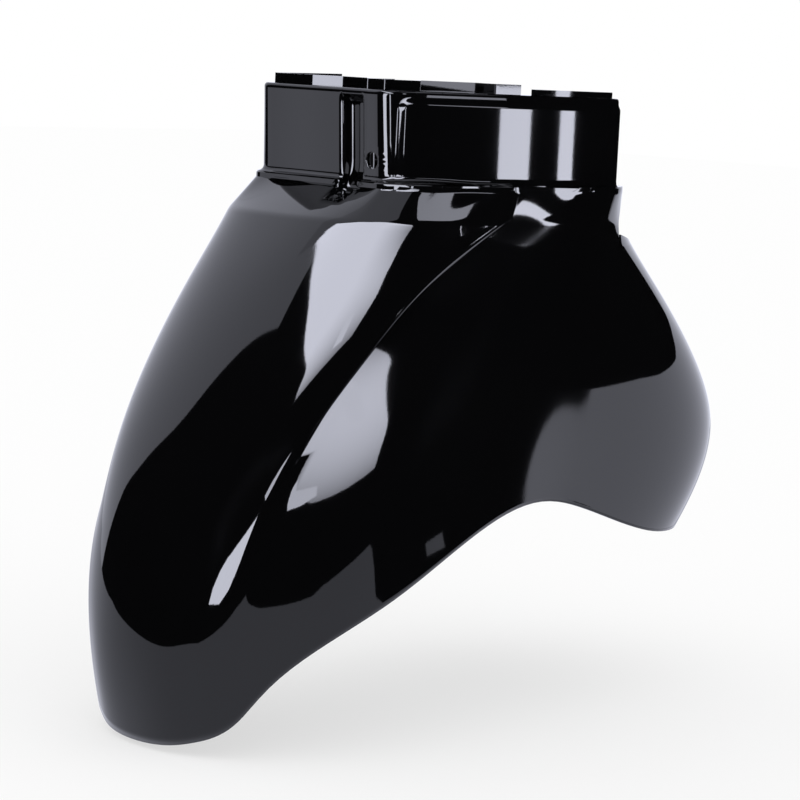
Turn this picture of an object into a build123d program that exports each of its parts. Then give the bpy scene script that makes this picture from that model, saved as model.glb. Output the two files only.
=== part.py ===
from build123d import *
from collections import namedtuple
import os

# Front mudguard of a small-wheeled motorcycle, one moulded shell.
# +X is forward, +Y is left, +Z runs up the steering axis, and the origin is where that axis
# meets the top of the fork shelf.

# Shell
wall = 3.0
nose_reach = 253.0
tail_reach = 250.0
half_width = 107.0

# Lower rim, seen from the side
nose_drop = 350.0
arch_drop = 206.0
tail_drop = 241.0

# Collar round the fork: a wall that is open at the back
collar_height = 58.0
collar_front = 99.0
collar_back = 68.0
collar_front_half = 56.0
collar_mid_half = 90.0
collar_back_half = 104.0
collar_lean = 4.0
collar_corner = 5.0
collar_round = 2.5
collar_root = 3.0
seat = 4.0
ridge_run = 8.0

# Flange and locating lip on top of the collar
flange_width = 24.0
flange_thick = 3.0
lip_inset = 6.0
lip_thick = 2.0
lip_height = 6.5
lip_jog = 14.0
lip_break = 4.0
back_lip_inset = 3.0

# Raised panel on each side of the collar
panel_rise = 2.0
panel_front = 93.0
panel_high = 54.0
panel_corner = 8.0
panel_round = 1.5

# Channel and cable hole in the front of the collar
channel_side = 27.0
channel_width = 17.0
channel_depth = 9.0
channel_top = 52.0
channel_corner = 3.0
scoop_up = 2.0
scoop_out = 19.0
scoop_drop = 12.0
scoop_sweep = 12.0
cable_hole = 5.5
cable_side = 45.0
cable_up = 13.0

# Step behind the collar, down to the tail
step_back = 88.0
step_drop = 33.0
gutter_width = 4.0
gutter_drop = 8.0
tail_fall = 30.0

# Fork shelf
stem_hole = 28.0
bolt_hole = 3.3
bolt_pitch_x = 60.0
bolt_pitch_y = 84.0

# Level outlines of the body. Points on the crown are measured back from the nose, points on the
# flank inward from the half width, and points round the back forward from the tail.
Level = namedtuple("Level", "drop front corners crease step cheek side hip tail")


def nose(back, half=0):
    return (nose_reach - back, half)


def flank(along, inward):
    return (along, half_width - inward)


def rear(ahead, half=0):
    return (ahead - tail_reach, half)


def collar_side(inset, lean):
    return ThreePointArc(
        (collar_front + lean - inset, collar_front_half - inset),
        (0, collar_mid_half - inset),
        (-collar_back, collar_back_half - inset),
    )


def beside_collar(share):
    point = collar_side(-seat - panel_rise, 0) @ share
    return (point.X, point.Y)


seat_level = Level(
    drop=0,
    front=(collar_front + seat, 0),
    corners=[
        (collar_front + 0.9 * seat, collar_front_half - collar_corner),
        (collar_front - collar_corner, collar_front_half + 2 * seat),
        beside_collar(0.3),
    ],
    crease=beside_collar(0.52),
    step=1.5,
    cheek=beside_collar(0.74),
    side=beside_collar(0.98),
    hip=rear(147, 80),
    tail=rear(127),
)
body_levels = [
    Level(24, nose(120), [nose(140, 65)], flank(27, 16), 4,
          flank(-10, 8), flank(-60, 3), rear(140, 79), rear(119)),
    Level(60, nose(87), [nose(109, 66)], flank(89, 22), 7,
          flank(40, 9), flank(-50, 3), rear(109, 80), rear(88)),
    Level(110, nose(52), [nose(76, 65)], flank(142, 23), 8,
          flank(85, 8), flank(-40, 1), rear(65, 84), rear(42)),
    Level(170, nose(20), [nose(41, 60)], flank(189, 29), 7,
          flank(135, 9), flank(-40, 0), rear(30, 83), rear(0)),
    Level(235, nose(1), [nose(17, 48)], flank(221, 37), 4,
          flank(165, 10), flank(-30, 0), rear(59, 83), rear(31)),
    Level(300, nose(2), [nose(10, 36)], flank(229, 47), 2,
          flank(172, 10), flank(-20, 1), rear(110, 79), rear(80)),
    Level(nose_drop + 19, nose(18), [nose(25, 34)], flank(215, 50), 1.5,
          flank(154, 11), flank(-20, 2), rear(150, 77), rear(120)),
]


def outline(level, inset, sink):
    # Crown arc in front, a rounded ridge at each crease, then flanks and tail in one loop
    z = -level.drop - sink
    left = [(x - 0.7 * inset, y - 0.7 * inset) for x, y in level.corners]
    left.append((level.crease[0] + 0.5 * inset, level.crease[1] - 1.3 * inset))
    right = [(x, -y) for x, y in reversed(left)]
    points = right + [(level.front[0] - inset, 0)] + left
    crown = Spline(*[(x, y, z) for x, y in points])
    along = crown % 1
    inward = along.rotate(Axis.Z, 90)
    foot = crown @ 1 + min(ridge_run, 2 * level.step) * along + level.step * inward
    ridge = TangentArc(crown @ 1, foot, tangent=along)
    cheek = (level.cheek[0], level.cheek[1] - inset)
    side = (level.side[0], level.side[1] - inset)
    hip = (level.hip[0] + 0.7 * inset, level.hip[1] - 0.7 * inset)
    left = [(foot.X, foot.Y), cheek, side, hip]
    right = [(x, -y) for x, y in reversed(left)]
    points = left + [(level.tail[0] + inset, 0)] + right
    loop = Spline(*[(x, y, z) for x, y in points])
    return make_face([crown, ridge, loop, mirror(ridge, Plane.XZ)])


def body(inset):
    # The shoulder is straight from the collar's seat to the fold, and the hull is one smooth loft
    sink = 0.6 * inset
    shoulder = loft([outline(seat_level, inset, inset), outline(body_levels[0], inset, sink)], ruled=True)
    hull = loft([outline(level, inset, sink) for level in body_levels])
    return shoulder + hull


def step_cut(inset):
    # The space behind the collar and above the tail, with a gutter at its foot
    riser = -step_back + inset
    floor = -step_drop - inset
    side_view = Polyline(
        (riser, collar_height),
        (riser, floor - gutter_drop),
        (riser - gutter_width, floor - gutter_drop),
        (riser - gutter_width - gutter_drop / 4, floor),
        (-tail_reach, floor - tail_fall),
        (-tail_reach, collar_height),
        close=True,
    )
    return extrude(Plane.XZ * make_face(side_view), 2 * half_width, both=True)


def rim_cut():
    # Everything below the lower rim, which is one sweep from the nose over the arch to the tail
    ahead = nose_reach + 16
    behind = -tail_reach - 30
    rim = Spline(
        (ahead, -nose_drop - 14),
        (nose_reach - 14, -nose_drop),
        (nose_reach - 32, -nose_drop + 13),
        (203, -arch_drop - 104),
        (130, -arch_drop - 51),
        (57, -arch_drop - 15),
        (-12, -arch_drop),
        (-69, -arch_drop - 13),
        (-129, -tail_drop + 4),
        (-190, -tail_drop),
        (behind, -tail_drop),
    )
    low = Polyline(rim @ 1, (behind, -2 * nose_drop), (ahead, -2 * nose_drop), rim @ 0)
    return extrude(Plane.XZ * make_face([rim, *low.edges()]), 2 * half_width, both=True)


def collar_plan(inset, lean):
    # Flat front with rounded corners, bowed sides and a straight back
    left = collar_side(inset, lean)
    right = mirror(left, Plane.XZ)
    front = Line(left @ 0, right @ 0)
    back = Line(left @ 1, right @ 1)
    plan = make_face([left, back, right, front])
    return fillet(plan.vertices().group_by(Axis.X)[-1], max(collar_corner - inset, 1))


def collar(inset, low, high):
    # Upright sides, and a front that leans forward as it rises
    left = collar_side(inset, collar_lean)
    right = mirror(left, Plane.XZ)
    plan = make_face([left, Line(left @ 1, right @ 1), right, Line(left @ 0, right @ 0)])
    block = Pos(0, 0, low) * extrude(plan, high - low)
    ahead = 2 * collar_lean
    foot = (collar_front - inset + collar_lean * low / collar_height, low)
    head = (collar_front - inset + collar_lean * high / collar_height, high)
    side_view = Polyline(foot, head, (head[0] + ahead, high), (head[0] + ahead, low), close=True)
    block -= extrude(Plane.XZ * make_face(side_view), half_width, both=True)
    face = block.faces().sort_by(Axis.X)[-1]
    corners = face.edges().sort_by(Axis.Y)
    return fillet([corners[0], corners[-1]], max(collar_corner - inset, 1))


def side_panels():
    # Both raised panels as one block, which the collar's hollow cuts apart
    length = panel_front + collar_back
    rise = panel_high + seat
    side_view = Pos((panel_front - collar_back) / 2, panel_high - rise / 2) * RectangleRounded(
        length, rise, panel_corner
    )
    reach = extrude(Plane.XZ * side_view, 2 * half_width, both=True)
    block = collar(-panel_rise, -seat, collar_height) & reach
    by_side = block.faces().sort_by(Axis.Y)
    return fillet(by_side[0].edges() + by_side[-1].edges(), panel_round)


def channel(grow):
    # A groove down the front of the collar, which sweeps out over the shoulder and ends there
    floor = collar_front - channel_depth - grow
    top = channel_top + grow
    out = collar_front + scoop_out
    side_view = Polyline(
        (floor + collar_lean * top / collar_height, top),
        (floor, scoop_up - grow),
        (out, -scoop_drop - grow),
        (out + scoop_out, -scoop_drop - grow),
        (out + scoop_out, top),
        close=True,
    )
    face = make_face(side_view)
    face = fillet(face.vertices().sort_by(Axis.X)[0], scoop_sweep)
    width = channel_width + 2 * grow
    groove = Pos(0, channel_side) * extrude(Plane.XZ * face, width / 2, both=True)
    floors = groove.faces().filter_by(lambda part: part.normal_at().X < -0.2)
    sides = floors.edges().filter_by(lambda edge: abs(edge.tangent_at(0.5).Y) < 0.5)
    return fillet(sides, channel_corner + grow)


def collar_hollow():
    # Open at the top inside the flange, and right through at the back
    low = collar(wall, 0, collar_height - flange_thick)
    high = collar(flange_width, collar_height - flange_thick, collar_height + lip_height)
    back = extrude(Rectangle(2 * wall, 2 * (collar_back_half - wall)), collar_height - flange_thick)
    mouth = extrude(Rectangle(2 * wall, 2 * (collar_back_half - flange_width)), collar_height + lip_height)
    return low + high + Pos(-collar_back, 0, 0) * (back + mouth) - channel(wall)


def lip():
    # A thin upright rib on the flange, jogged inward past the channel and on the left side
    ring = collar_plan(lip_inset, collar_lean) - collar_plan(lip_inset + lip_thick, collar_lean)
    middle = collar_side(lip_inset + lip_thick / 2, collar_lean)
    front_x = (middle @ 0).X
    ahead = Pos(lip_break + half_width, 0) * Rectangle(2 * half_width, 2 * half_width)
    past_channel = Pos(front_x, channel_side - channel_width) * Rectangle(2 * lip_jog, 3 * channel_width)
    start = middle @ 0.14
    finish = middle @ 0.46
    past_side = Pos((start.X + finish.X) / 2, half_width) * Rectangle(start.X - finish.X, half_width)
    front = ring & ahead
    front = front - past_channel - past_side
    left_end = channel_side + channel_width / 2
    right_end = channel_side - 2.5 * channel_width
    first = Polyline(
        (front_x, right_end),
        (front_x - lip_jog, right_end + lip_jog),
        (front_x - lip_jog, left_end - lip_jog),
        (front_x, left_end),
    )
    along = (finish - start).normalized()
    inward = along.rotate(Axis.Z, 90)
    shift = lip_jog * inward
    slant = lip_jog / 2 * along
    second = Polyline(start, start + shift + slant, finish + shift - slant, finish)
    front += trace(first, lip_thick) + trace(second, lip_thick)
    rear_ring = collar_plan(back_lip_inset, collar_lean)
    rear_ring -= collar_plan(back_lip_inset + lip_thick, collar_lean)
    behind = Pos(-collar_back / 2 - 1, 0) * Rectangle(collar_back - 4, 2 * half_width)
    between = Pos(-collar_back, 0) * Rectangle(6 * lip_thick, half_width)
    back = (rear_ring & behind) - between
    return Pos(0, 0, collar_height) * (extrude(front, lip_height) + extrude(back, 0.6 * lip_height))


def shelf_holes():
    bolts = GridLocations(bolt_pitch_x, bolt_pitch_y, 2, 2) * Cylinder(bolt_hole, 4 * wall)
    return Cylinder(stem_hole, 4 * wall) + bolts


neck = collar(0, -seat, collar_height)
neck = fillet(neck.edges().group_by(Axis.Z)[-1], collar_round)
root = loft([collar_plan(-collar_root, 0), Pos(0, 0, collar_root) * collar_plan(0, 0)], ruled=True)
solid = body(0) - step_cut(0)
solid = solid + neck + root
solid += side_panels()
solid -= channel(0)
shell = solid - (body(wall) - step_cut(wall) - channel(wall))
shell -= collar_hollow()
shell -= rim_cut()
shell += lip()
shell -= shelf_holes()
shell -= Pos(collar_front, cable_side, cable_up) * Rot(0, 90, 0) * Cylinder(cable_hole, 6 * wall)

os.makedirs("parts", exist_ok=True)
export_step(shell, "parts/front_mudguard.step")
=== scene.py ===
from collections import namedtuple
from math import cos, inf, pi, radians, sin

import bmesh
import bpy
import numpy as np
from mathutils import Matrix, Vector

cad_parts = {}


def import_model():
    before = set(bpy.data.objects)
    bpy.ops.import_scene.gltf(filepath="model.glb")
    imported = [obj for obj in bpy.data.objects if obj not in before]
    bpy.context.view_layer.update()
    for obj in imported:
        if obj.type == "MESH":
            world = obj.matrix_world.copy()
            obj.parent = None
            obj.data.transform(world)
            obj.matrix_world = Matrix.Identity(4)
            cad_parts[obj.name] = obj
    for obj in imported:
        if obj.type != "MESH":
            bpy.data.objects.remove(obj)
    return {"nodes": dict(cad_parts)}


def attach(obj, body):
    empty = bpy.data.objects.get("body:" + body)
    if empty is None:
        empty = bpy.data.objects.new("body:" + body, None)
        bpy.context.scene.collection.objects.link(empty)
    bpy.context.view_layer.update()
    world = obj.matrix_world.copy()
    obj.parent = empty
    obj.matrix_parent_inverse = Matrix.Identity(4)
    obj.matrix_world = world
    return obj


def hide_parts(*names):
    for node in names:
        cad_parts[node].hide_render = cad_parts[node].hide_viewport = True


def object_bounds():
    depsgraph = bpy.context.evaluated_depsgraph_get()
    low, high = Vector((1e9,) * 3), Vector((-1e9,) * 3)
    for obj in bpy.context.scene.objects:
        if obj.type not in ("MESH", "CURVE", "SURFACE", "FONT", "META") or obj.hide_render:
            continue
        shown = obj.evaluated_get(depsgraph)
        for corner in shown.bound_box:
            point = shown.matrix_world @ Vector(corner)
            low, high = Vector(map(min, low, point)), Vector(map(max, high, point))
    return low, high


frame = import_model()
CAD_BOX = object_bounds()

# Camera: angles in degrees, azimuth from +X toward +Y; lengths in metres, sensor in millimetres
CAMERA_AZIMUTH = 44.0
CAMERA_ELEVATION = 7.3
CAMERA_ROLL = 2.8
CAMERA_DISTANCE = 1.8
CAMERA_TARGET = Vector((0.040, 0.0, -0.140))
SENSOR = 36
FIELD = 0.5333
PICTURE = 800
TARGET_PIXEL = (375.24, 386.24)

# Shell: overall reach, lower rim and wall
MM = 0.001
NOSE_REACH = 253 * MM
TAIL_REACH = 250 * MM
HALF_WIDTH = 107 * MM
NOSE_DROP = 350 * MM
ARCH_DROP = 206 * MM
TAIL_DROP = 241 * MM
WALL = 3 * MM
FOLD_ROUND = 3 * MM
FOLD_MOST = 0.5
EDGE_ROUND = 0.6 * MM

# Lower rim in the side view, from before the nose to behind the tail: along, height
RIM = [
    (NOSE_REACH + 16 * MM, -NOSE_DROP - 14 * MM),
    (NOSE_REACH - 14 * MM, -NOSE_DROP),
    (NOSE_REACH - 32 * MM, -NOSE_DROP + 13 * MM),
    (203 * MM, -ARCH_DROP - 104 * MM),
    (130 * MM, -ARCH_DROP - 51 * MM),
    (57 * MM, -ARCH_DROP - 15 * MM),
    (-12 * MM, -ARCH_DROP),
    (-69 * MM, -ARCH_DROP - 13 * MM),
    (-129 * MM, -TAIL_DROP + 4 * MM),
    (-190 * MM, -TAIL_DROP),
    (-TAIL_REACH - 30 * MM, -TAIL_DROP),
]

# Collar: outline, wall, seat and flange; its front corner's bend is in shares of the corner's size
COLLAR_FRONT = 99 * MM
COLLAR_BACK = 68 * MM
COLLAR_HALVES = (56 * MM, 90 * MM, 104 * MM)
COLLAR_CORNER = 5 * MM
CORNER_BEND = [(0, -2), (0, -0.7), (-0.16, -0.14), (-0.66, 0.36)]
CORNER_SPREAD = 0.7
COLLAR_HEIGHT = 58 * MM
COLLAR_LEAN = 4 * MM
COLLAR_ROUND = 2.5 * MM
FLANGE_THICK = 3 * MM
SEAT = 4 * MM
SEAT_EDGE = 1 * MM
SEAT_DROP = 4 * MM

# Raised panel on the collar's side
PANEL_RISE = 2 * MM
PANEL_FRONT = 93 * MM
PANEL_HALF = 65 * MM
PANEL_HIGH = 54 * MM
PANEL_CORNER = 8 * MM
PANEL_ROLL = 4 * MM

# Channel down the collar's front, which runs out over the shoulder, and the cable hole beside it
CHANNEL_SIDE = 27 * MM
CHANNEL_WIDTH = 17 * MM
CHANNEL_DEPTH = 9 * MM
CHANNEL_TOP = 54 * MM
CHANNEL_END = 6 * MM
CHANNEL_ROUND = 3 * MM
CHANNEL_MARGIN = 2.5 * MM
SCOOP_RUN = 19 * MM
SCOOP_TURN = radians(53)
SCOOP_BLEND = 1.6
SCOOP_RISE = 3 * SEAT
CABLE_SIDE = 45 * MM
CABLE_UP = 13 * MM
CABLE_HOLE = 5.5 * MM
CABLE_AROUND = 2 * CABLE_HOLE
CABLE_INSIDE = 0.99 * CABLE_HOLE

# Step behind the collar, above the tail
STEP_BACK = 88 * MM
STEP_DROP = 33 * MM
STEP_AHEAD = 20 * MM
STEP_BELOW = 90 * MM
STEP_MARGIN = 5 * MM
GUTTER_WIDTH = 4 * MM
GUTTER_DROP = 8 * MM
TAIL_FALL = 30 * MM

# Mesh fineness, and the angles in degrees and shares of a normal that sort its edges and faces
CROWN_STEPS = 400
FRONT_STEPS = 10
CORNER_STEPS = 44
RIDGE_STEPS = 10
FLANK_STEPS = 64
ROUND_STEPS = 5
WALL_STEPS = 40
SHOULDER_STEPS = 14
FOLD_STEPS = 6
HULL_STEPS = 70
LIP_STEPS = 4
CHANNEL_STEPS = 7
CABLE_SIDES = 24
CURVE_STEPS = 500
RIM_STEPS = 600
EDGE_SEGMENTS = 2
HULL_SHARP = 40
FLANGE_SHARP = 30
EDGE_SHARP = 40
FLAT = 1
FACING_OUT = 0.2
FACING_UP = 0.05
MERGE = 1e-6
CLEAR = 0.05 * MM

# Gloss black plastic: two near tones, a faint smear in the shine and a fine peel
BLACK_DEEP = (0.0014, 0.0014, 0.0017, 1)
BLACK_PALE = (0.0022, 0.0022, 0.0026, 1)
SMEAR_SCALE = 9.0
SMEAR_DETAIL = 3.0
PEEL_SCALE = 900.0
PEEL_DETAIL = 2.0
PEEL_STRENGTH = 0.012
PEEL_DEPTH = 0.0002
ROUGH_LEAST = 0.02
ROUGH_SPREAD = 0.03
PLASTIC_IOR = 1.5

# Room: pale floor, white behind, and dark where the gloss looks past the cards
FLOOR_GAP = 4 * MM
FLOOR_Z = CAD_BOX[0].z - FLOOR_GAP
FLOOR_HALF = 8.0
FLOOR_TONE = 0.97
FLOOR_WHITE = 0.6
SHEET_LIFT = 1 * MM
ROOM_WHITE = 1.0
ROOM_DARK = 0.004
LAMP_COLOUR = (0.90, 0.92, 1.06)
CARD_DISTANCE = 7.0
CARD_CENTRE = Vector((0.10, 0.05, -0.10))

# Softbox overhead and the ceiling, as shares of their height; its fade starts, ends and leaves a share
STRIP_HEIGHT = 5.0
STRIP_GLOW = 15.0
STRIP_FADE = (1.3, 3.7, 0.23)
STRIP_STEPS = 30
STRIP_NEAR = [
    (0.6, -0.36), (0.7, -0.05), (0.78, 0.35), (0.84, 0.8),
    (0.84, 1.3), (0.82, 1.9), (0.92, 2.6), (1.0, 3.5),
]
STRIP_FAR = [
    (-0.15, 3.5), (-0.12, 2.6), (-0.1, 2.2), (-0.02, 1.95), (0.15, 1.7),
    (0.3, 1.35), (0.45, 0.95), (0.58, 0.5), (0.59, -0.3),
]
CEILING_RISE = 1.01
CEILING_GLOW = 1.0
CEILING = [
    (-0.5, -0.5), (0.6, -0.5), (0.66, 0.7), (0.5, 1.25),
    (0.2, 0.75), (0.0, 0.72), (-0.3, 0.6), (-0.6, 0.2),
]

# Cards by azimuth and elevation: walls, the front of the collar, the panel's edge and the ridge
WALL_GLOW = 1.25
FAR_WALL_STEPS = 40
FAR_WALL_FACING = (-62, 22)
FAR_WALL_START = (-15, 57)
FAR_WALL_EDGE = [
    (-5, 50), (-25, 46), (-37, 38), (-45, 28), (-53, 20),
    (-59, 14), (-65, 9), (-72, 2), (-80, -5), (-87, -12),
]
FAR_WALL_REST = [(-87, -17), (-110, -20), (-110, 62), (-60, 66)]
BACK_WALL_FACING = (-145, 10)
BACK_WALL = [(-110, -20), (-180, -20), (-180, 5), (-140, 40), (-110, 62)]
FRONT_CARD_FACING = (-44, -9)
FRONT_CARD = [(-59, -20), (-29, -20), (-29, 2), (-59, 2)]
FRONT_CARD_DISTANCE = 0.25
EDGE_CARD_GLOW = 12.0
EDGE_CARD_FACING = (74, 1)
EDGE_CARD = [(72, -5), (77, -5), (77, 8), (72, 8)]
EDGE_CARD_DISTANCE = 0.3
RIDGE_GLOW = 14.0
RIDGE_FACING = (50, 8)
RIDGE_MIDDLE = Vector((0.215, 0.067, -0.21))
RIDGE_OUTER = [(68, 10.8), (60, 11.6), (52, 11.6), (43, 11), (33, 9), (27, 5), (22.5, -1), (21.6, -6.8)]
RIDGE_INNER = [(36.6, -8.8), (48.7, -5.5), (56, -1.2), (60, 2), (63, 5), (66, 8)]

# Cards by their corners in metres: over the shoulder, beside the ridge and behind the tail
SHOULDER_GLOW = 4.5
SHOULDER_CARD = [
    (0.066, 0.157, 0.062), (0.066, 0.161, 0.075), (-0.004, 0.162, 0.070), (0.0, 0.166, 0.056),
]
RIDGE_CARD_GLOW = 10.0
RIDGE_CARD = [
    (0.209, 0.219, -0.133), (0.2275, 0.2143, -0.1366), (0.248, 0.206, -0.1415), (0.262, 0.2015, -0.151),
    (0.247, 0.212, -0.163), (0.228, 0.217, -0.156), (0.21, 0.22, -0.145),
]

# The tail's card starts beside it and runs back; its top is given by shares of the run and heights
TAIL_GLOW = 1.45
TAIL_START = (-0.197, 0.242)
TAIL_RUN = (-0.25, -0.19)
TAIL_SPLAY = 0.008
TAIL_TOPS = [
    (0.0, -0.155), (0.13, -0.142), (0.23, -0.134), (0.44, -0.11), (0.6, -0.08), (1.0, -0.03), (1.6, 0.0),
]

# Two narrow softboxes at the collar's height, and black cards that hide them from the hull:
# one lies flat, and each upright one has its front and back along X and its top
SIDE_GLOW = 14.0
SIDE_LOW = -0.075
SIDE_HIGH = 0.06
SIDE_STRIPS = {
    "side_wide": [(-0.131, 0.664), (-0.200, 0.657)],
    "side_thin": [(-0.266, 0.645), (-0.298, 0.636)],
}
SHADE_GAP = 3 * MM
SHADE = [(0.06, 0.13), (0.06, 0.70), (-0.42, 0.70), (-0.20, 0.13)]
SHADE_SIDE = 0.20
UPRIGHT_SHADES = {
    "front_shade": (0.012, 0.085, SIDE_HIGH),
    "low_shade": (-0.15, 0.012, -0.024),
}

# Parts of the floor that the gloss shows
SHEET_GLOW = 0.8
FLOOR_SHEETS = {
    "floor_sheet": [
        (0.47, -0.45), (0.45, 0.25), (0.43, 0.5), (0.31, 0.8), (0.29, 1.1), (0.14, 1.6),
        (-0.45, 2.9), (-0.3, 1.9), (-0.12, 0.95), (-0.03, 0.55), (-0.06, 0.42), (-0.12, 0.38),
        (-0.4, 0.33), (-1.5, 0.3), (-1.5, -1.5), (0.1, -1.5),
    ],
    "floor_spot": [(-0.33, 0.60), (-0.40, 0.56), (-0.48, 0.68), (-0.40, 0.72)],
}


def direction(azimuth, elevation):
    """The way to look for an azimuth and an elevation in degrees."""
    a, e = radians(azimuth), radians(elevation)
    return Vector((cos(a) * cos(e), sin(a) * cos(e), sin(e)))


class Socket:
    """One output of a node, with arithmetic that adds Math nodes."""

    def __init__(self, tree, output):
        self.tree = tree
        self.output = output

    def node(self, kind, settings=None, **sockets):
        made = self.tree.nodes.new(kind)
        for name, value in (settings or {}).items():
            setattr(made, name, value)
        for name, value in sockets.items():
            plug(self.tree, made.inputs[name.replace("_", " ")], value)
        return made

    def maths(self, operation, first, second):
        made = self.node("ShaderNodeMath", {"operation": operation})
        plug(self.tree, made.inputs[0], first)
        plug(self.tree, made.inputs[1], second)
        return Socket(self.tree, made.outputs[0])

    def __add__(self, other):
        return self.maths("ADD", self, other)

    __radd__ = __add__

    def __mul__(self, other):
        return self.maths("MULTIPLY", self, other)

    __rmul__ = __mul__


def plug(tree, socket, value):
    """Links a wrapped socket, or sets a plain value."""
    if isinstance(value, Socket):
        tree.links.new(value.output, socket)
    else:
        socket.default_value = value


def new_material(name):
    material = bpy.data.materials.new(name)
    material.use_nodes = True
    tree = material.node_tree
    tree.nodes.clear()
    out = tree.nodes.new("ShaderNodeOutputMaterial")
    return material, tree, out


def gloss_black():
    """Moulded gloss black plastic, the one finish of the part."""
    material, tree, out = new_material("gloss_black")
    place = Socket(tree, tree.nodes.new("ShaderNodeTexCoord").outputs["Object"])
    cloud = place.node("ShaderNodeTexNoise", Vector=place, Scale=SMEAR_SCALE, Detail=SMEAR_DETAIL)
    smear = Socket(tree, cloud.outputs["Fac"])
    grain = place.node("ShaderNodeTexNoise", Vector=place, Scale=PEEL_SCALE, Detail=PEEL_DETAIL)
    peel = Socket(tree, grain.outputs["Fac"])
    tone = place.node("ShaderNodeMix", {"data_type": "RGBA"}, Factor=smear, A=BLACK_DEEP, B=BLACK_PALE)
    bump = place.node("ShaderNodeBump", Strength=PEEL_STRENGTH, Distance=PEEL_DEPTH, Height=peel)
    shader = place.node(
        "ShaderNodeBsdfPrincipled",
        Base_Color=Socket(tree, tone.outputs["Result"]),
        Roughness=ROUGH_LEAST + ROUGH_SPREAD * smear,
        IOR=PLASTIC_IOR,
        Normal=Socket(tree, bump.outputs["Normal"]),
    )
    tree.links.new(shader.outputs[0], out.inputs["Surface"])
    return material


# One outline of the shell: its depth, the crown to the crease, the ridge's step and run, and the flank
Level = namedtuple("Level", "drop front corners crease step run cheek side hip tail")


def nose(back, half=0):
    """A place measured back from the nose and out from the middle, in millimetres."""
    return (NOSE_REACH - back * MM, half * MM)


def flank(along, inward):
    """A place measured along the shell and in from its widest, in millimetres."""
    return (along * MM, HALF_WIDTH - inward * MM)


def rear(ahead, half=0):
    """A place measured forward from the tail and out from the middle, in millimetres."""
    return (ahead * MM - TAIL_REACH, half * MM)


def smooth(points, shares):
    """Places at shares of the length of a curve that runs through the points without a kink."""
    points = np.array(points, float)
    spans = np.linalg.norm(np.diff(points, axis=0), axis=1)
    marks = np.concatenate([[0], np.cumsum(spans)])
    count = len(points)
    system = np.eye(count)
    pull = np.zeros_like(points)
    slopes = np.diff(points, axis=0) / spans[:, None]
    for k in range(1, count - 1):
        system[k, k - 1 : k + 2] = spans[k - 1], 2 * (spans[k - 1] + spans[k]), spans[k]
        pull[k] = 6 * (slopes[k] - slopes[k - 1])
    bend = np.linalg.solve(system, pull)
    at = np.asarray(shares) * marks[-1]
    k = np.clip(np.searchsorted(marks, at, side="right") - 1, 0, count - 2)
    span = spans[k][:, None]
    a = (marks[k + 1] - at)[:, None]
    b = (at - marks[k])[:, None]
    cubic = (bend[k] * a**3 + bend[k + 1] * b**3) / (6 * span)
    first = (points[k] / span - bend[k] * span / 6) * a
    second = (points[k + 1] / span - bend[k + 1] * span / 6) * b
    return cubic + first + second


def ease(share):
    """A share that starts and ends gently."""
    share = np.clip(share, 0, 1)
    return share * share * (3 - 2 * share)


def round_middle(a, b, c):
    """The middle of the round through three points."""
    d = 2 * (a.x * (b.y - c.y) + b.x * (c.y - a.y) + c.x * (a.y - b.y))
    aa, bb, cc = a.length_squared, b.length_squared, c.length_squared
    x = (aa * (b.y - c.y) + bb * (c.y - a.y) + cc * (a.y - b.y)) / d
    y = (aa * (c.x - b.x) + bb * (a.x - c.x) + cc * (b.x - a.x)) / d
    return Vector((x, y))


def arc(ends, share):
    """A place on the round through three points."""
    centre = round_middle(*ends)
    start = ends[0] - centre
    turn = start.angle_signed(ends[2] - centre)
    return centre + Matrix.Rotation(-turn * share, 2) @ start


def beside_collar(share, outward):
    """A place that far outside the collar's bowed side, at a share of its length."""
    places = zip((COLLAR_FRONT + outward, 0, -COLLAR_BACK), COLLAR_HALVES)
    return tuple(arc([Vector((x, y + outward)) for x, y in places], share))


def round_collar(outward):
    """The flat front's end and its rounded corner, that far outside the collar."""
    front = COLLAR_FRONT + outward
    half = COLLAR_HALVES[0] + CORNER_SPREAD * outward
    return [(front + ahead * COLLAR_CORNER, half + aside * COLLAR_CORNER) for ahead, aside in CORNER_BEND]


def collar_level(outward, side):
    """The collar's outline, that far outside its front and that far outside its side."""
    return Level(
        drop=0,
        front=(COLLAR_FRONT + outward, 0),
        corners=round_collar(outward) + [beside_collar(0.06, side), beside_collar(0.3, side)],
        crease=beside_collar(0.52, side),
        step=0.3,
        run=3,
        cheek=beside_collar(0.74, side),
        side=beside_collar(0.98, side),
        hip=rear(147, 80),
        tail=rear(127),
    )


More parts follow.
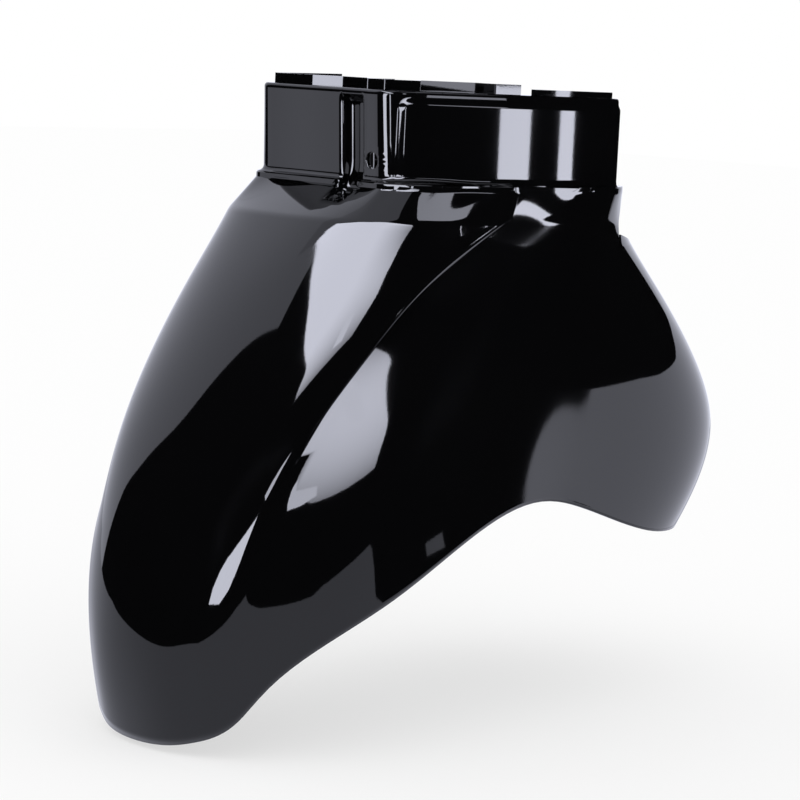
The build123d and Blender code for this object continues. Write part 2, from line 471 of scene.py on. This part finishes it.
# Outlines of the collar's wall and seat, and of the hull at each depth below the fork shelf
WALL_LEVEL = collar_level(0, 0)
SEAT_LEVEL = collar_level(SEAT, SEAT + PANEL_RISE)
BODY_LEVELS = [
    Level(
        24, nose(116), [nose(128, 57.5)], flank(31, 12), 3, 8,
        flank(-10, 8.5), flank(-60, 3), rear(140, 79), rear(119),
    ),
    Level(
        60, nose(86.5), [nose(105.5, 62)], flank(93, 18), 5.5, 12,
        flank(40, 12), flank(-50, 3), rear(109, 80), rear(88),
    ),
    Level(
        110, nose(52), [nose(81, 70)], flank(141, 24), 6, 5,
        flank(85, 9), flank(-40, 1), rear(65, 84), rear(42),
    ),
    Level(
        170, nose(21), [nose(40, 58.5)], flank(193, 34.5), 3, 10,
        flank(135, 7), flank(-40, 0), rear(30, 83), rear(0),
    ),
    Level(
        235, nose(2.5), [nose(14.5, 46)], flank(229.5, 47.5), 6, 20,
        flank(165, 8), flank(-30, 0), rear(59, 83), rear(31),
    ),
    Level(
        300, nose(2), [nose(8, 34)], flank(236.5, 57.5), 8, 30,
        flank(172, 12), flank(-20, 1), rear(110, 79), rear(80),
    ),
    Level(
        369, nose(17.5), [nose(23.5, 32.5)], flank(221.5, 59.5), 8, 28,
        flank(154, 13), flank(-20, 2), rear(150, 77), rear(120),
    ),
]


def channel_section():
    """Places across the channel: how far from its middle line, and what share of its depth."""
    half = CHANNEL_WIDTH / 2
    r = CHANNEL_ROUND
    turn = np.linspace(0, pi / 2, CHANNEL_STEPS)
    lip = [(-half - r - CHANNEL_MARGIN * (1 - k / LIP_STEPS), 0) for k in range(LIP_STEPS)]
    over = [(-half - r + r * sin(t), r - r * cos(t)) for t in turn]
    into = [(-half + r - r * cos(t), CHANNEL_DEPTH - r + r * sin(t)) for t in turn]
    floor = [((half - r) * (k / 2 - 1), CHANNEL_DEPTH) for k in (1, 2, 3)]
    left = lip + over + into
    section = np.array(left + floor + [(-y, depth) for y, depth in reversed(left)])
    section[:, 1] /= CHANNEL_DEPTH
    return section


def crown_line(level):
    """The points of a level's crown, from the right crease over the middle to the left one."""
    left = list(level.corners) + [level.crease]
    return [(x, -y) for x, y in reversed(left)] + [level.front] + left


def crown_shares():
    """Shares of the crown's length for the columns, close together where the channel is."""
    even = np.linspace(0.5, 1, CROWN_STEPS)
    halves = smooth(crown_line(SEAT_LEVEL), even)[:, 1]
    reach = SECTION[-1, 0]
    start, finish = np.interp([CHANNEL_SIDE - reach, CHANNEL_SIDE + reach], halves, even)
    before = np.linspace(0.5, start, FRONT_STEPS, endpoint=False)
    channel = np.linspace(start, finish, len(SECTION))
    after = np.linspace(finish, 1, CORNER_STEPS + 1)[1:]
    return np.concatenate([before, channel, after])


SECTION = channel_section()
CROWN_SHARES = crown_shares()


def half_outline(level):
    """One level's outline on the left: the crown, the ridge's round, then the flank to the tail."""
    front = smooth(crown_line(level), CROWN_SHARES)
    along = Vector(front[-1] - front[-2]).normalized()
    inward = Vector((-along.y, along.x))
    start = Vector(front[-1])
    foot = start + level.run * MM * along + level.step * MM * inward
    chord = foot - start
    turn = 2 * along.angle_signed(chord)
    reach = chord.length / (2 * sin(abs(turn) / 2))
    middle = start + reach * inward
    spoke = start - middle
    steps = range(1, RIDGE_STEPS + 1)
    ridge = [middle + Matrix.Rotation(-turn * k / RIDGE_STEPS, 2) @ spoke for k in steps]
    left = [tuple(foot), level.cheek, level.side, level.hip]
    loop = left + [level.tail] + [(x, -y) for x, y in reversed(left)]
    back = smooth(loop, np.linspace(0, 0.5, FLANK_STEPS + 1))
    flat = np.vstack([front, np.array(ridge), back[1:]])
    return np.column_stack([flat, np.full(len(flat), -level.drop * MM)])


def wall_rows():
    """Down the collar: inset from its face, height, and share of the way out to the seat."""
    turn = np.linspace(pi / 2, 0, ROUND_STEPS + 1)
    inset = COLLAR_ROUND * (1 - np.cos(turn))
    height = COLLAR_HEIGHT - COLLAR_ROUND * (1 - np.sin(turn))
    top = np.column_stack([inset, height, 0 * turn])
    heights = np.linspace(COLLAR_HEIGHT - COLLAR_ROUND, SEAT, WALL_STEPS + 1)[1:]
    wall = np.column_stack([0 * heights, heights, 0 * heights])
    turn = np.linspace(0, pi / 2, ROUND_STEPS + 1)[1:-1]
    root = np.column_stack([0 * turn, SEAT * (1 - np.sin(turn)), 1 - np.cos(turn)])
    return np.vstack([top, wall, root])


def panel_rise(along, height):
    """How far the raised panel stands out at a place on the collar's side."""
    ahead = PANEL_FRONT - along
    above = PANEL_HIGH - height
    round_off = PANEL_CORNER - np.hypot(PANEL_CORNER - ahead, PANEL_CORNER - above)
    in_corner = (ahead < PANEL_CORNER) & (above < PANEL_CORNER)
    inside = np.where(in_corner, round_off, np.minimum(ahead, above))
    return PANEL_RISE * ease(inside / PANEL_ROLL)


def collar_column(wall, seat, outward):
    """One line down the collar, to just above its seat."""
    inset, height, out = wall_rows().T
    stand = panel_rise(wall[0], height) - inset
    lean = COLLAR_LEAN * height / COLLAR_HEIGHT * outward[0] ** 2
    line = np.column_stack([wall[0] + outward[0] * stand + lean, wall[1] + outward[1] * stand, height])
    line[:, :2] += out[:, None] * (seat[:2] - line[:, :2])
    edge = seat - SEAT_EDGE * np.array([[*outward, 0], [0, 0, 1]])
    return np.vstack([line, edge])


def sink_channel(columns, first, collar_rows):
    """Presses the channel into the front of the collar and lets it run out over the shoulder."""
    for k, (off, share) in enumerate(SECTION):
        line = columns[first + k]
        height = line[:collar_rows, 2]
        end = 1 - np.clip((height - CHANNEL_TOP + CHANNEL_END) / CHANNEL_END, 0, 1) ** 2
        run = np.linalg.norm(line[collar_rows:] - line[collar_rows], axis=1)
        depth = CHANNEL_DEPTH * share * np.concatenate([np.sqrt(end), np.clip(1 - run / SCOOP_RUN, 0, 1)])
        turn = SCOOP_TURN * np.concatenate([ease(1 - height / SCOOP_RISE), np.ones(len(run))])
        keep = np.concatenate([np.ones(collar_rows), 1 - ease(run / (SCOOP_BLEND * SCOOP_RUN))])
        line[:, 1] += keep * (CHANNEL_SIDE + off - line[:, 1])
        line[:, 0] -= depth * np.cos(turn)
        line[:, 2] -= depth * np.sin(turn)


def rim_height(along):
    """How high the lower rim is at a place along the shell, in the side view."""
    curve = smooth(RIM, np.linspace(0, 1, RIM_STEPS))[::-1]
    return np.interp(along, curve[:, 0], curve[:, 1])


def column(seat, points):
    """One line down the shell: straight shoulder, rounded fold, then the hull to the rim."""
    fine = smooth(points, np.linspace(0, 1, CURVE_STEPS))
    below = fine[:, 2] < rim_height(fine[:, 0])
    last = int(np.argmax(below)) if below.any() else len(fine) - 1
    gaps = fine[last - 1 : last + 1, 2] - rim_height(fine[last - 1 : last + 1, 0])
    cross = fine[last - 1] + (fine[last] - fine[last - 1]) * gaps[0] / (gaps[0] - gaps[1])
    hull = np.vstack([fine[:last], cross])
    fold = points[0]
    run = np.concatenate([[0], np.cumsum(np.linalg.norm(np.diff(hull, axis=0), axis=1))])
    slope = seat - fold
    leave = fold + slope * min(FOLD_ROUND / np.linalg.norm(slope), FOLD_MOST)
    join = np.array([np.interp(FOLD_ROUND, run, hull[:, k]) for k in range(3)])
    t = np.linspace(0, 1, FOLD_STEPS + 1)[:, None]
    turn = (1 - t) ** 2 * leave + 2 * t * (1 - t) * fold + t**2 * join
    shares = np.linspace(0, 1, SHOULDER_STEPS + 1)[:-1, None]
    shoulder = seat + shares * (leave - seat)
    rest = np.linspace(FOLD_ROUND, run[-1], HULL_STEPS + 1)[1:]
    hull = np.column_stack([np.interp(rest, run, hull[:, k]) for k in range(3)])
    return np.vstack([shoulder, turn, hull])


def hull_columns():
    """Every line from the collar's top to the rim, from the right of the tail round to the left."""
    outlines = [half_outline(level) for level in BODY_LEVELS]
    seat = half_outline(SEAT_LEVEL)
    wall = half_outline(WALL_LEVEL)
    ends = zip((COLLAR_FRONT, 0, -COLLAR_BACK), COLLAR_HALVES)
    middle = np.array(round_middle(*[Vector(end) for end in ends]))
    bowed = wall[:, 0] < PANEL_FRONT
    spokes = wall[bowed, :2] - middle
    reach = np.linalg.norm(middle - (0, COLLAR_HALVES[1]))
    wall[bowed, :2] = middle + spokes * (reach / np.linalg.norm(spokes, axis=1))[:, None]
    along = np.gradient(wall[:, :2], axis=0)
    along /= np.linalg.norm(along, axis=1)[:, None]
    outward = np.column_stack([along[:, 1], -along[:, 0]])
    left = []
    for k in range(len(seat)):
        below = column(seat[k] - (0, 0, SEAT_DROP), np.array([outline[k] for outline in outlines]))
        left.append(np.vstack([collar_column(wall[k], seat[k], outward[k]), below]))
    left = np.array(left)
    right = left[:0:-1] * (1, -1, 1)
    behind = int(np.argmax(seat[:, 0] < -COLLAR_BACK))
    sink_channel(left, FRONT_STEPS, len(wall_rows()) + 2)
    return np.vstack([right, left]), len(seat) - 1, behind


def whole(faces):
    """The faces with their edges and corners."""
    edges = {edge for face in faces for edge in face.edges}
    verts = {vert for face in faces for vert in face.verts}
    return faces + list(edges) + list(verts)


def cut_step(work):
    """Opens the space behind the collar, above the tail, and closes it with its riser and ledge."""
    riser = -STEP_BACK
    wall = riser - GUTTER_WIDTH
    low = -STEP_DROP - GUTTER_DROP
    ledge = Vector((wall, 0, -STEP_DROP))
    ledge_up = Vector((-TAIL_FALL, 0, TAIL_REACH + wall)).normalized()
    planes = [
        (Vector((riser, 0, 0)), Vector((1, 0, 0))),
        (Vector((wall, 0, 0)), Vector((1, 0, 0))),
        (Vector((0, 0, low)), Vector((0, 0, 1))),
        (ledge, ledge_up),
    ]

    def close(face):
        place = face.calc_center_median()
        return place.x < riser + STEP_AHEAD and place.z > -STEP_BELOW

    def taken(face):
        place = face.calc_center_median()
        if place.x > riser:
            return False
        if place.x > wall:
            return place.z > low
        return (place - ledge).dot(ledge_up) > 0

    for place, normal in planes:
        geometry = whole([face for face in work.faces if close(face)])
        bmesh.ops.bisect_plane(work, geom=geometry, dist=MERGE, plane_co=place, plane_no=normal)
    before = {edge for edge in work.edges if len(edge.link_faces) == 1}
    bmesh.ops.delete(work, geom=[face for face in work.faces if taken(face)], context="FACES")
    brink = [edge for edge in work.edges if len(edge.link_faces) == 1 and edge not in before]
    made = bmesh.ops.extrude_edge_only(work, edges=brink)["geom"]
    for vert in made:
        if isinstance(vert, bmesh.types.BMVert):
            vert.co.y = 0
    bmesh.ops.remove_doubles(work, verts=work.verts, dist=10 * MERGE)


def cut_hole(work):
    """Opens the cable hole in the front of the collar."""
    middle = Vector((COLLAR_FRONT, CABLE_SIDE, CABLE_UP))

    def off_axis(face):
        away = face.calc_center_median() - middle
        return Vector((away.y, away.z)).length if abs(away.x) < CHANNEL_DEPTH / 2 else inf

    for k in range(CABLE_SIDES):
        turn = 2 * pi * k / CABLE_SIDES
        normal = Vector((0, cos(turn), sin(turn)))
        place = middle + CABLE_HOLE * normal
        geometry = whole([face for face in work.faces if off_axis(face) < CABLE_AROUND])
        bmesh.ops.bisect_plane(work, geom=geometry, dist=MERGE, plane_co=place, plane_no=normal)
    inside = [face for face in work.faces if off_axis(face) < CABLE_INSIDE]
    bmesh.ops.delete(work, geom=inside, context="FACES")


def finish_piece(name, work, sharp):
    """Turns the work into a smooth-shaded object whose edges are sharp above that many degrees."""
    mesh = bpy.data.meshes.new(name)
    work.to_mesh(mesh)
    work.free()
    mesh.shade_smooth()
    mesh.set_sharp_from_angle(angle=radians(sharp))
    piece = bpy.data.objects.new(name, mesh)
    bpy.context.scene.collection.objects.link(piece)
    return piece


def hull_piece():
    """The shell with its collar: one grid, laid on the columns and given its wall."""
    columns, middle, behind = hull_columns()
    across, down = columns.shape[:2]
    work = bmesh.new()
    bmesh.ops.create_grid(work, x_segments=across - 1, y_segments=down - 1, size=0.5)
    bmesh.ops.translate(work, verts=work.verts, vec=(0.5, -0.5, 0))
    bmesh.ops.scale(work, verts=work.verts, vec=(across - 1, 1 - down, 1))
    spare = []
    for face in work.faces:
        place = face.calc_center_median()
        if abs(place.x - middle) > behind and place.y < len(wall_rows()):
            spare.append(face)
    bmesh.ops.delete(work, geom=spare, context="FACES")
    for vert in work.verts:
        vert.co = columns[round(vert.co.x), round(vert.co.y)]
    bmesh.ops.remove_doubles(work, verts=work.verts, dist=MERGE)
    cut_step(work)
    cut_hole(work)
    bmesh.ops.dissolve_degenerate(work, edges=work.edges, dist=MERGE)
    bmesh.ops.recalc_face_normals(work, faces=work.faces)
    piece = finish_piece("hull", work, HULL_SHARP)
    shell = piece.modifiers.new("wall", "SOLIDIFY")
    shell.thickness = WALL
    shell.offset = -1
    return piece


def flange_piece(node):
    """The collar's flange with its lips, and the fork shelf, taken from the solid."""
    work = bmesh.new()
    work.from_mesh(node.data)
    bmesh.ops.remove_doubles(work, verts=work.verts, dist=MERGE)
    base = (0, 0, -WALL - 4 * CLEAR)
    bmesh.ops.bisect_plane(
        work, geom=whole(work.faces[:]), dist=MERGE, plane_co=base, plane_no=(0, 0, 1), clear_inner=True
    )
    spare = []
    for face in work.faces:
        middle = face.calc_center_median()
        plan = Vector((middle.x, middle.y, 0))
        wall = CLEAR < middle.z < COLLAR_HEIGHT - FLANGE_THICK - 2 * CLEAR
        outer = 0 < middle.z < COLLAR_HEIGHT - CLEAR and face.normal.dot(plan) > FACING_OUT * plan.length
        sloped = middle.z < -CLEAR and face.normal.z > FACING_UP
        behind = middle.z < CLEAR and middle.x < -STEP_BACK + STEP_MARGIN
        if wall or outer or sloped or behind:
            spare.append(face)
    bmesh.ops.delete(work, geom=spare, context="FACES")
    bmesh.ops.dissolve_limit(work, angle_limit=radians(FLAT), verts=work.verts, edges=work.edges)
    piece = finish_piece("flange", work, FLANGE_SHARP)
    edge = piece.modifiers.new("edge", "BEVEL")
    edge.width = EDGE_ROUND
    edge.segments = EDGE_SEGMENTS
    edge.limit_method = "ANGLE"
    edge.angle_limit = radians(EDGE_SHARP)
    even = piece.modifiers.new("even", "WEIGHTED_NORMAL")
    even.keep_sharp = True
    return piece


def glow(name, strength, fade=None):
    """A lamp's material; fade gives where along Y it starts to dim, where it ends and the share left."""
    material, tree, out = new_material(name)
    lamp = tree.nodes.new("ShaderNodeEmission")
    lamp.inputs["Color"].default_value = (*LAMP_COLOUR, 1)
    lamp.inputs["Strength"].default_value = strength
    if fade:
        start, finish, left = fade
        dim = (*(left * part for part in LAMP_COLOUR), 1)
        place = Socket(tree, tree.nodes.new("ShaderNodeTexCoord").outputs["Object"])
        along = Socket(tree, place.node("ShaderNodeSeparateXYZ", Vector=place).outputs["Y"])
        share = place.node("ShaderNodeMapRange", Value=along, From_Min=start, From_Max=finish)
        reach = Socket(tree, share.outputs["Result"])
        tone = place.node("ShaderNodeMix", {"data_type": "RGBA"}, Factor=reach, A=(*LAMP_COLOUR, 1), B=dim)
        tree.links.new(tone.outputs["Result"], lamp.inputs["Color"])
    tree.links.new(lamp.outputs[0], out.inputs["Surface"])
    return material


def stage_face(name, corners, material):
    """One flat piece of the studio."""
    made = bmesh.new()
    made.faces.new([made.verts.new(Vector(corner)) for corner in corners])
    bmesh.ops.triangulate(made, faces=made.faces)
    mesh = bpy.data.meshes.new(name)
    made.to_mesh(mesh)
    made.free()
    mesh.materials.append(material)
    piece = bpy.data.objects.new(name, mesh)
    bpy.context.scene.collection.objects.link(piece)
    return piece


def gloss_only(name, corners, material):
    """A studio card that shows in reflections and lights nothing else."""
    piece = stage_face(name, corners, material)
    piece.visible_camera = False
    piece.visible_diffuse = False
    piece.visible_shadow = False


def panel(name, facing, corners, material, distance=CARD_DISTANCE, centre=CARD_CENTRE):
    """A flat card; its corners are azimuths and elevations seen from a place on the object."""
    ahead = direction(*facing)
    rays = [direction(*corner) for corner in corners]
    gloss_only(name, [centre + ray * (distance / ray.dot(ahead)) for ray in rays], material)


def camera():
    """The camera, shifted so that its target falls on the target's pixel."""
    back = direction(CAMERA_AZIMUTH, CAMERA_ELEVATION)
    level = Vector((-sin(radians(CAMERA_AZIMUTH)), cos(radians(CAMERA_AZIMUTH)), 0))
    above = back.cross(level)
    turn = radians(CAMERA_ROLL)
    right = cos(turn) * level + sin(turn) * above
    up = cos(turn) * above - sin(turn) * level
    lens = bpy.data.cameras.new("camera")
    lens.sensor_width = SENSOR
    lens.lens = lens.sensor_width * CAMERA_DISTANCE / FIELD
    lens.shift_x = (PICTURE / 2 - TARGET_PIXEL[0]) / PICTURE
    lens.shift_y = (TARGET_PIXEL[1] - PICTURE / 2) / PICTURE
    piece = bpy.data.objects.new("camera", lens)
    turned = Matrix((right, up, back)).transposed().to_4x4()
    turned.translation = CAMERA_TARGET + CAMERA_DISTANCE * back
    piece.matrix_world = turned
    scene = bpy.context.scene
    scene.collection.objects.link(piece)
    scene.camera = piece
    scene.view_settings.view_transform = "Standard"


def world():
    """White to the eye and on the floor, and a dark room in the gloss, where the cards stand."""
    sky = bpy.data.worlds.new("studio")
    bpy.context.scene.world = sky
    sky.use_nodes = True
    tree = sky.node_tree
    tree.nodes.clear()
    out = tree.nodes.new("ShaderNodeOutputWorld")
    gloss = Socket(tree, tree.nodes.new("ShaderNodeLightPath").outputs["Is Glossy Ray"])
    seen = gloss.node("ShaderNodeBackground", Color=(1, 1, 1, 1), Strength=ROOM_WHITE)
    room = gloss.node("ShaderNodeBackground", Color=(1, 1, 1, 1), Strength=ROOM_DARK)
    mix = gloss.node("ShaderNodeMixShader", Fac=gloss)
    tree.links.new(seen.outputs[0], mix.inputs[1])
    tree.links.new(room.outputs[0], mix.inputs[2])
    tree.links.new(mix.outputs[0], out.inputs["Surface"])


def overhead_lights():
    """The long softbox over the object, which dims toward its far end, under a white ceiling."""
    along = np.linspace(0, 1, STRIP_STEPS)
    outline = np.vstack([smooth(STRIP_NEAR, along), smooth(STRIP_FAR, along)]) * STRIP_HEIGHT
    start, finish, left = STRIP_FADE
    light = glow("overhead_strip", STRIP_GLOW, (start * STRIP_HEIGHT, finish * STRIP_HEIGHT, left))
    gloss_only("overhead_strip", [(x, y, STRIP_HEIGHT) for x, y in outline], light)
    ceiling = [Vector((x, y, CEILING_RISE)) * STRIP_HEIGHT for x, y in CEILING]
    gloss_only("ceiling", ceiling, glow("ceiling", CEILING_GLOW))


def hull_lights():
    """Cards for the shoulder and the ridge, and white ones behind the tail and round the far side."""
    gloss_only("shoulder_card", SHOULDER_CARD, glow("shoulder_card", SHOULDER_GLOW))
    ridge = glow("ridge_strip", RIDGE_GLOW)
    panel("ridge_strip", RIDGE_FACING, RIDGE_OUTER + RIDGE_INNER, ridge, CARD_DISTANCE, RIDGE_MIDDLE)
    gloss_only("ridge_card", RIDGE_CARD, glow("ridge_card", RIDGE_CARD_GLOW))
    white = glow("white_wall", WALL_GLOW)
    edge = [tuple(corner) for corner in smooth(FAR_WALL_EDGE, np.linspace(0, 1, FAR_WALL_STEPS))]
    panel("far_wall", FAR_WALL_FACING, [FAR_WALL_START] + edge + FAR_WALL_REST, white)
    panel("back_wall", BACK_WALL_FACING, BACK_WALL, white)
    (x0, y0), (run_x, run_y) = TAIL_START, TAIL_RUN
    tops = [(x0 + share * run_x, y0 + share * run_y, top) for share, top in TAIL_TOPS]
    feet = [(x + TAIL_SPLAY, y, FLOOR_Z) for x, y, top in reversed(tops)]
    gloss_only("tail_card", tops + feet, glow("tail_card", TAIL_GLOW))


def collar_lights():
    """Cards for the collar's front, panel edge and side, and black ones that keep them off the hull."""
    front = Vector((COLLAR_FRONT, 0, COLLAR_HEIGHT / 2))
    white = glow("front_card", WALL_GLOW)
    panel("front_card", FRONT_CARD_FACING, FRONT_CARD, white, FRONT_CARD_DISTANCE, front)
    edge = Vector((PANEL_FRONT, PANEL_HALF, COLLAR_HEIGHT / 2))
    bright = glow("edge_card", EDGE_CARD_GLOW)
    panel("edge_card", EDGE_CARD_FACING, EDGE_CARD, bright, EDGE_CARD_DISTANCE, edge)
    side = glow("side_strips", SIDE_GLOW)
    for name, ((x0, y0), (x1, y1)) in SIDE_STRIPS.items():
        strip = [(x0, y0, SIDE_LOW), (x1, y1, SIDE_LOW), (x1, y1, SIDE_HIGH), (x0, y0, SIDE_HIGH)]
        gloss_only(name, strip, side)
    dark = glow("shade", ROOM_DARK)
    gloss_only("shade", [(x, y, SIDE_LOW - SHADE_GAP) for x, y in SHADE], dark)
    for name, (x0, x1, top) in UPRIGHT_SHADES.items():
        upright = [(x0, SIDE_LOW), (x1, SIDE_LOW), (x1, top), (x0, top)]
        gloss_only(name, [(x, SHADE_SIDE, z) for x, z in upright], dark)


def pale_floor():
    """A floor that the eye sees near white, with the object's shadow on it."""
    material, tree, out = new_material("floor")
    eye = Socket(tree, tree.nodes.new("ShaderNodeLightPath").outputs["Is Camera Ray"])
    pale = eye.node("ShaderNodeBsdfDiffuse", Color=(FLOOR_TONE, FLOOR_TONE, FLOOR_TONE, 1))
    paper = eye.node("ShaderNodeEmission", Color=(1, 1, 1, 1))
    blend = eye.node("ShaderNodeMixShader", Fac=FLOOR_WHITE * eye)
    tree.links.new(pale.outputs[0], blend.inputs[1])
    tree.links.new(paper.outputs[0], blend.inputs[2])
    tree.links.new(blend.outputs[0], out.inputs["Surface"])
    square = [(-1, -1), (1, -1), (1, 1), (-1, 1)]
    corners = [(x * FLOOR_HALF, y * FLOOR_HALF, FLOOR_Z) for x, y in square]
    piece = stage_face("floor", corners, material)
    piece.visible_glossy = False


def floor_sheets():
    """The parts of the floor that the gloss shows."""
    sheet = glow("floor_sheet", SHEET_GLOW)
    for name, corners in FLOOR_SHEETS.items():
        gloss_only(name, [(x, y, FLOOR_Z + SHEET_LIFT) for x, y in corners], sheet)


camera()
world()
black = gloss_black()
node = frame["nodes"]["front_mudguard"]
for piece in (hull_piece(), flange_piece(node)):
    piece.data.materials.clear()
    piece.data.materials.append(black)
    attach(piece, "root")
    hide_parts("front_mudguard")

overhead_lights()
hull_lights()
collar_lights()
pale_floor()
floor_sheets()
